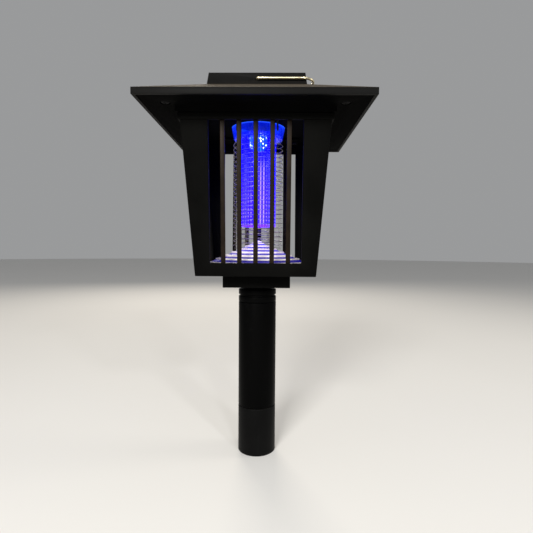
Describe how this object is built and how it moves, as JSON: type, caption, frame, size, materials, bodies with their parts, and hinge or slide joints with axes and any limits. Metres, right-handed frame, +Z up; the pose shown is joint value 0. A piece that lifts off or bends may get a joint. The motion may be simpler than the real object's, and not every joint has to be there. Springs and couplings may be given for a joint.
{
  "type": "electric bug zapper",
  "caption": "Solar garden bug zapper: square lantern cage with a hip roof, solar panel, folding bail, blue lamp and wire grid, on a pole with a ground spike.",
  "frame": {"origin": "on the pole's axis at soil level, on the sole of the spike's collar", "axes": "+Z up along the pole, +X to the right, -Y towards the viewer of the front face"},
  "size_m": [0.16, 0.16, 0.424],
  "materials": {
    "black_plastic": "fine-textured moulded ABS, satin black",
    "satin_pole": "smooth drawn black tube, soft gloss",
    "bronze_bar": "dark bronze lacquer on flat steel strip",
    "zinc_steel": "zinc plated",
    "black_screw": "black oxide on steel",
    "grid_steel": "drawn steel wire, slightly tarnished",
    "frosted_plastic": "frosted clear plastic",
    "polished_bail": "bright polished steel wire",
    "solar_cells": "dark blue cells under clear resin",
    "cell_sleeve": "shrink sleeve",
    "circuit_board": "solder mask over glass fibre laminate",
    "black_epoxy": "potted epoxy",
    "blue_epoxy": "dipped epoxy",
    "grey_plastic": "moulded nylon",
    "clear_cup": "clear polycarbonate lit blue from inside",
    "blue_guide": "fluted blue diffuser, lit",
    "led_lens": "clear LED lens, lit",
    "cream_plastic": "glossy cream plastic",
    "dark_insulation": "dark PVC insulation"
  },
  "bodies": {
    "stake": {"ground_spike": "black_plastic", "pole": "satin_pole", "pole_coupler": "satin_pole"},
    "lantern": {"cage_frame": "black_plastic", "cage_floor": "black_plastic", "neck_block": "black_plastic", "neck_screw_1": "black_screw", "neck_screw_2": "black_screw", "deflector_cone": "cream_plastic", "cage_bar_front_1": "bronze_bar", "cage_bar_front_2": "bronze_bar", "cage_bar_front_3": "bronze_bar", "cage_bar_front_4": "bronze_bar", "cage_bar_front_5": "bronze_bar", "cage_bar_right_1": "bronze_bar", "cage_bar_right_2": "bronze_bar", "cage_bar_right_3": "bronze_bar", "cage_bar_right_4": "bronze_bar", "cage_bar_right_5": "bronze_bar", "cage_bar_rear_1": "bronze_bar", "cage_bar_rear_2": "bronze_bar", "cage_bar_rear_3": "bronze_bar", "cage_bar_rear_4": "bronze_bar", "cage_bar_rear_5": "bronze_bar", "cage_bar_left_1": "bronze_bar", "cage_bar_left_2": "bronze_bar", "cage_bar_left_3": "bronze_bar", "cage_bar_left_4": "bronze_bar", "cage_bar_left_5": "bronze_bar"},
    "head": {"roof_shell": "black_plastic", "solar_panel": "solar_cells", "base_plate": "black_plastic", "base_screw_1": "black_screw", "base_screw_2": "black_screw", "base_screw_3": "black_screw", "base_screw_4": "black_screw", "battery_cover": "black_plastic", "battery_cover_screw": "black_screw", "battery": "cell_sleeve", "contact_positive": "zinc_steel", "contact_negative": "zinc_steel", "circuit_board": "circuit_board", "boost_transformer": "black_epoxy", "storage_capacitor": "blue_epoxy", "board_screw_1": "zinc_steel", "board_screw_2": "zinc_steel", "switch_body": "grey_plastic", "lamp_cup": "clear_cup", "light_guide": "blue_guide", "led_board": "circuit_board", "uv_led": "led_lens", "grid_frame": "frosted_plastic", "grid_wire_live": "grid_steel", "grid_wire_return": "grid_steel", "grid_lead_live": "dark_insulation", "grid_lead_return": "dark_insulation", "panel_lead": "dark_insulation", "lamp_lead": "dark_insulation"},
    "switch_knob": {"switch_knob": "black_plastic"},
    "bail": {"wire_bail": "polished_bail"}
  },
  "joints": [
    {"name": "lantern_lift_off", "type": "slide", "parent": "stake", "child": "lantern", "axis": [0, 0, 1], "range_m": [0, 0.05]},
    {"name": "head_lift_off", "type": "slide", "parent": "lantern", "child": "head", "axis": [0, 0, 1], "range_m": [0, 0.12]},
    {"name": "bail_fold", "type": "hinge", "parent": "head", "child": "bail", "pos_m": [0, 0, 0.2992], "axis": [0, -1, 0], "range_deg": [0, 180]},
    {"name": "power_slide", "type": "slide", "parent": "head", "child": "switch_knob", "axis": [1, 0, 0], "range_m": [0, 0.004]}
  ]
}
